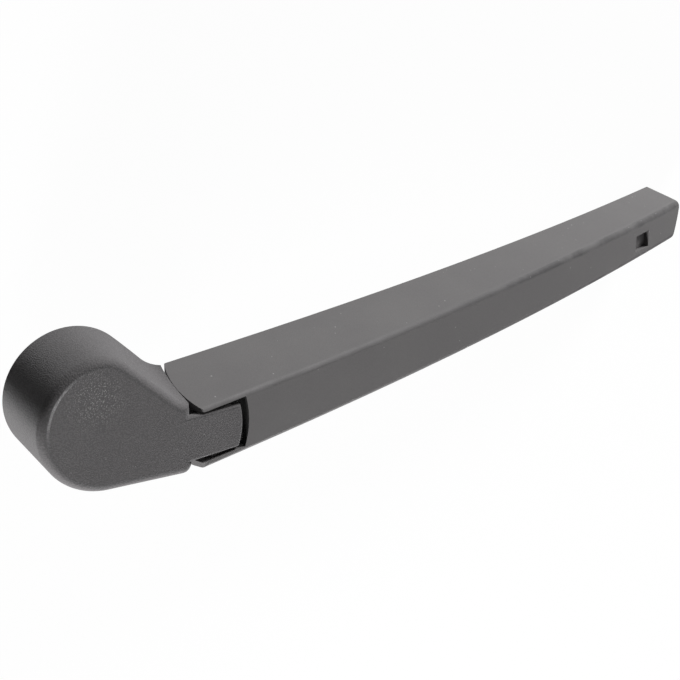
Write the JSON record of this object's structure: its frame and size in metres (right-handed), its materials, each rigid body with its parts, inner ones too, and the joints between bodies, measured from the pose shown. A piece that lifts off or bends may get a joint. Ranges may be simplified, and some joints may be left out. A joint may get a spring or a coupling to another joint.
{
  "type": "wiper arm",
  "caption": "Rear-window wiper arm without its blade: round head with a hinged cover cap, and a bowed channel arm with a sprung hinge and a lock recess near the tip.",
  "frame": {"origin": "on the spindle axis, at the glass-side rim of the head, where the spindle enters its cone", "axes": "+Z along the spindle away from the glass, +X along the arm to its tip, +Y to the side whose wall leans outwards"},
  "size_m": [0.3045, 0.0466, 0.0369],
  "materials": {
    "cap_plastic": "fine grained moulding",
    "arm_plastic": "smooth satin moulding",
    "bush_plastic": "natural acetal",
    "die_cast": "raw die casting",
    "pin_steel": "ground steel",
    "spring_steel": "drawn spring wire"
  },
  "bodies": {
    "head": {"pivot_head": "die_cast", "hinge_bush_upper": "bush_plastic", "hinge_bush_lower": "bush_plastic", "spring_pin": "pin_steel"},
    "cap": {"head_cap": "cap_plastic"},
    "arm": {"arm_channel": "arm_plastic", "hinge_pin": "pin_steel", "anchor_pin": "pin_steel", "tension_spring": "spring_steel", "blade_pin": "pin_steel"}
  },
  "joints": [
    {"name": "arm_lift", "type": "hinge", "parent": "head", "child": "arm", "pos_m": [0.0327, -0.0149, 0.021], "axis": [0, -1, 0], "range_deg": [0, 45], "stiffness_Nm_per_rad": 0.3, "springref_deg": -85.94, "deforming": ["tension_spring"]},
    {"name": "cap_flip", "type": "hinge", "parent": "head", "child": "cap", "pos_m": [0.0327, -0.0149, 0.021], "axis": [0, 1, 0], "range_deg": [0, 50]}
  ]
}
